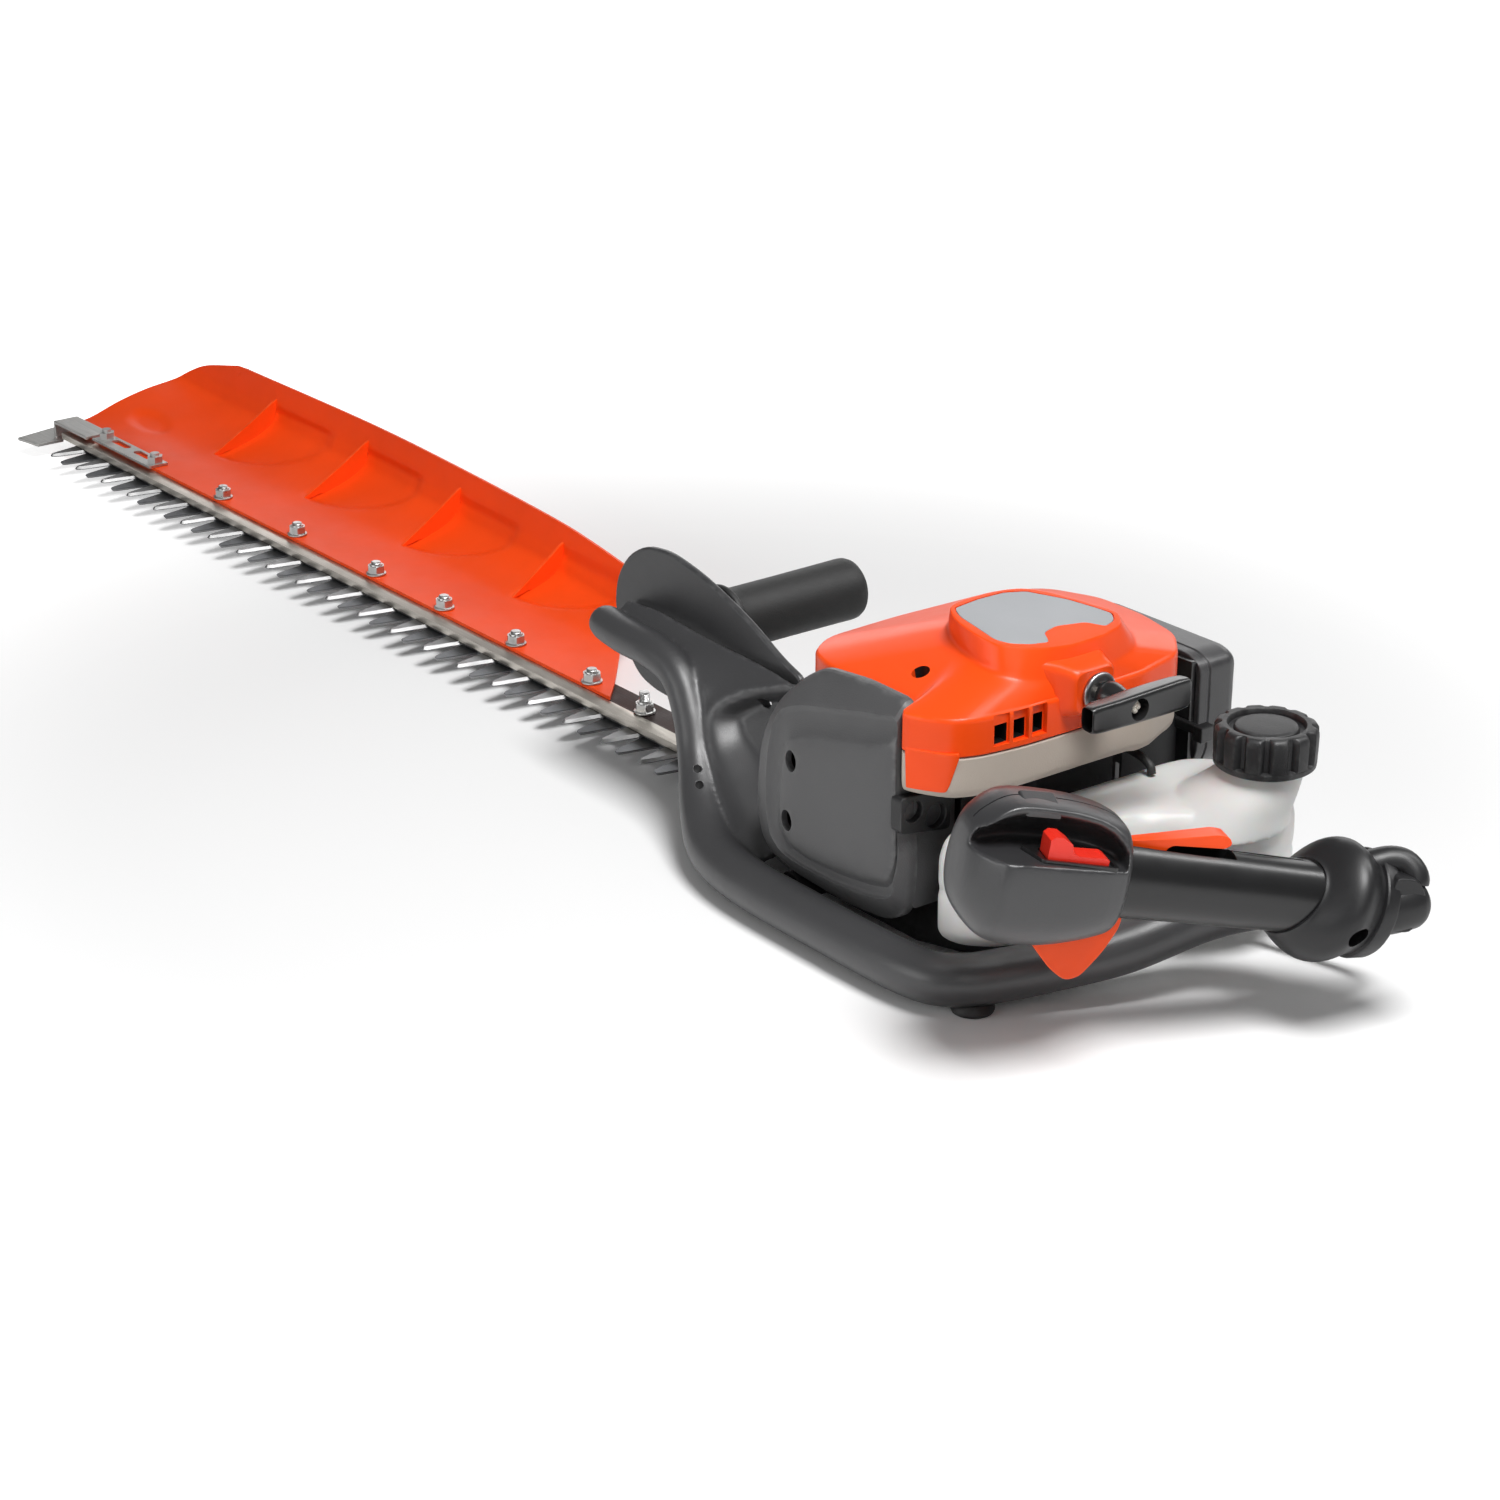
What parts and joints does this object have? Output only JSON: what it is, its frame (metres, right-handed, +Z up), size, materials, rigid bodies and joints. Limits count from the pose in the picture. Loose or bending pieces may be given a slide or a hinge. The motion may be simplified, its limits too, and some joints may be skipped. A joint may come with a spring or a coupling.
{
  "type": "petrol hedge trimmer",
  "caption": "Single-sided petrol hedge trimmer with an orange chip deflector, side-facing teeth, a tubular frame, a recoil starter and a rear throttle handle.",
  "frame": {"origin": "On the floor under the front of the gear case, on the bolt line of the cutting bar.", "axes": "+X along the cutting bar to its tip, +Y to the side of the teeth, +Z up."},
  "size_m": [1.1709, 0.2496, 0.166],
  "materials": {
    "blade_steel": "ground",
    "dark_steel": "oiled",
    "bar_steel": "satin",
    "zinc_steel": "zinc plated",
    "cast_alloy": "cast",
    "orange_shell": "satin",
    "red_switch": "satin",
    "grey_shell": "fine grain",
    "black_shell": "fine grain",
    "black_rubber": "matt",
    "sand_shell": "matt",
    "white_tank": "translucent white",
    "filter_foam": "open foam",
    "rope_cord": "braided"
  },
  "bodies": {
    "machine": {"guide_bar": "bar_steel", "tip_guard": "blade_steel", "chip_deflector": "orange_shell", "deflector_clip": "zinc_steel", "gear_case_lower": "cast_alloy", "gear_case_upper": "cast_alloy", "crankcase": "cast_alloy", "cylinder": "cast_alloy", "spark_plug": "black_rubber", "ignition_module": "black_shell", "muffler": "dark_steel", "muffler_cover": "grey_shell", "cover_screw": "dark_steel", "carburetor_insulator": "black_shell", "carburetor": "cast_alloy", "air_filter_base": "black_shell", "air_filter_element": "filter_foam", "air_filter_cover": "grey_shell", "primer_bulb": "black_rubber", "fan_housing": "sand_shell", "starter_housing": "orange_shell", "recoil_spring": "dark_steel", "rope_eyelet": "zinc_steel", "fuel_tank": "white_tank", "fuel_hose": "black_rubber", "main_frame": "grey_shell", "hand_guard": "grey_shell", "front_grip": "black_rubber", "frame_foot": "black_rubber", "av_mount_left": "black_rubber", "av_mount_rear": "black_rubber", "handle_rear_shell": "black_shell", "handle_front_shell": "black_shell", "handle_mount": "black_shell", "throttle_cable": "black_rubber", "blade_bolt_1": "zinc_steel", "blade_bolt_2": "zinc_steel", "blade_bolt_3": "zinc_steel", "blade_bolt_4": "zinc_steel", "blade_bolt_5": "zinc_steel", "blade_bolt_6": "zinc_steel", "blade_bolt_7": "zinc_steel"},
    "upper_blade": {"upper_blade": "blade_steel", "upper_drive_rod": "dark_steel"},
    "lower_blade": {"lower_blade": "dark_steel", "lower_drive_rod": "dark_steel"},
    "drive_gear": {"drive_gear": "dark_steel"},
    "clutch_drum": {"clutch_drum": "blade_steel"},
    "crankshaft": {"crankshaft": "blade_steel", "flywheel": "cast_alloy", "clutch_shoes": "dark_steel"},
    "piston": {"piston": "cast_alloy"},
    "starter_pulley": {"starter_pulley": "black_shell"},
    "starter_handle": {"starter_handle": "black_shell", "starter_rope": "rope_cord"},
    "fuel_cap": {"fuel_cap": "black_shell"},
    "choke_lever": {"choke_lever": "black_shell"},
    "throttle_trigger": {"throttle_trigger": "orange_shell"},
    "throttle_lockout": {"throttle_lockout": "orange_shell"},
    "stop_switch": {"stop_switch": "red_switch"}
  },
  "joints": [
    {"name": "upper_blade_stroke", "type": "slide", "parent": "machine", "child": "upper_blade", "axis": [1, 0, 0], "range_m": [-0.007, 0.0105]},
    {"name": "lower_blade_stroke", "type": "slide", "parent": "machine", "child": "lower_blade", "axis": [1, 0, 0], "range_m": [-0.0105, 0.007]},
    {"name": "drive_gear_spin", "type": "hinge", "parent": "machine", "child": "drive_gear", "pos_m": [-0.138, 0, 0.02], "axis": [0, 0, 1], "continuous": true},
    {"name": "clutch_drum_spin", "type": "hinge", "parent": "machine", "child": "clutch_drum", "pos_m": [-0.178, 0, 0.035], "axis": [0, 0, 1], "continuous": true},
    {"name": "crankshaft_spin", "type": "hinge", "parent": "machine", "child": "crankshaft", "pos_m": [-0.178, 0, 0.072], "axis": [0, 0, 1], "continuous": true},
    {"name": "piston_stroke", "type": "slide", "parent": "machine", "child": "piston", "axis": [1, 0, 0], "range_m": [-0.0135, 0.0135]},
    {"name": "starter_pull", "type": "slide", "parent": "machine", "child": "starter_handle", "axis": [-1, 0, 0], "range_m": [0, 0.6], "stiffness_N_per_m": 12, "springref_m": -0.15, "deforming": ["starter_rope"]},
    {"name": "starter_pulley_spin", "type": "hinge", "parent": "machine", "child": "starter_pulley", "pos_m": [-0.178, 0, 0.136], "axis": [0, 0, -1], "range_deg": [-5, 1500]},
    {"name": "fuel_cap_turn", "type": "hinge", "parent": "machine", "child": "fuel_cap", "pos_m": [-0.281, -0.08, 0.105], "axis": [0, 0, 1], "range_deg": [0, 270]},
    {"name": "choke_turn", "type": "hinge", "parent": "machine", "child": "choke_lever", "pos_m": [-0.196, -0.0957, 0.088], "axis": [0, 1, 0], "range_deg": [0, 35]},
    {"name": "throttle_squeeze", "type": "hinge", "parent": "machine", "child": "throttle_trigger", "pos_m": [-0.30047, 0.07361, 0.07167], "axis": [-0.9173, 0.3982, 0], "range_deg": [0, 14], "stiffness_Nm_per_rad": 0.3, "springref_deg": -20.05},
    {"name": "lockout_press", "type": "hinge", "parent": "machine", "child": "throttle_lockout", "pos_m": [-0.31892, 0.03112, 0.09498], "axis": [0.9173, -0.3982, 0], "range_deg": [0, 7], "stiffness_Nm_per_rad": 0.2, "springref_deg": -17.19},
    {"name": "stop_switch_rock", "type": "hinge", "parent": "machine", "child": "stop_switch", "pos_m": [-0.32636, 0.06672, 0.09968], "axis": [0.9173, -0.3982, 0], "range_deg": [-8, 8]}
  ],
  "couplings": [
    {"joint": "lower_blade_stroke", "follows": "upper_blade_stroke", "ratio": -1},
    {"joint": "clutch_drum_spin", "follows": "drive_gear_spin", "ratio": -4.3333},
    {"joint": "starter_pulley_spin", "follows": "starter_pull", "rad_per_m": 43.478}
  ]
}
